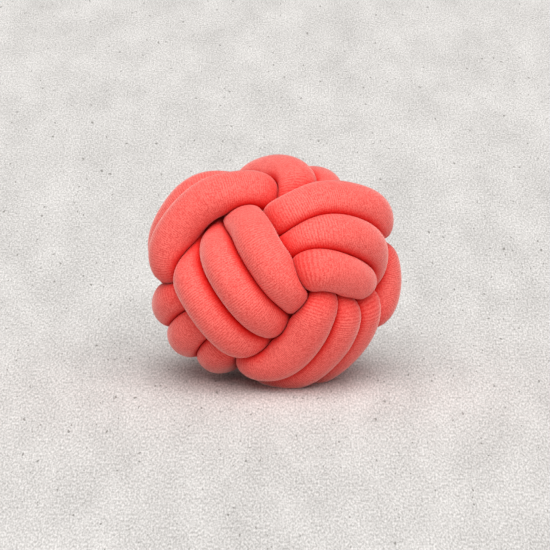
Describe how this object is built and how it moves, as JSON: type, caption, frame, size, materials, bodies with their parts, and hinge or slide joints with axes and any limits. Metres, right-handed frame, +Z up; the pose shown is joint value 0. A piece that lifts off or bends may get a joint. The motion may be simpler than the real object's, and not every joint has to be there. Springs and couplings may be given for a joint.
{
  "type": "knot cushion",
  "caption": "Ball cushion tied from one long stuffed tube of knitted cotton, to rest on a seat, bed or floor.",
  "frame": {"origin": "centre of the underside, where the ball stands on its flat spot", "axes": "+X to the right and -Y to the front as in the picture, +Z up"},
  "size_m": [0.3024, 0.299, 0.2675],
  "materials": {
    "knitted_cotton": "coral red cotton jersey, fine knit, matt with a soft bloom"
  },
  "bodies": {
    "root": {"knotted_tube": "knitted_cotton"}
  },
  "joints": []
}
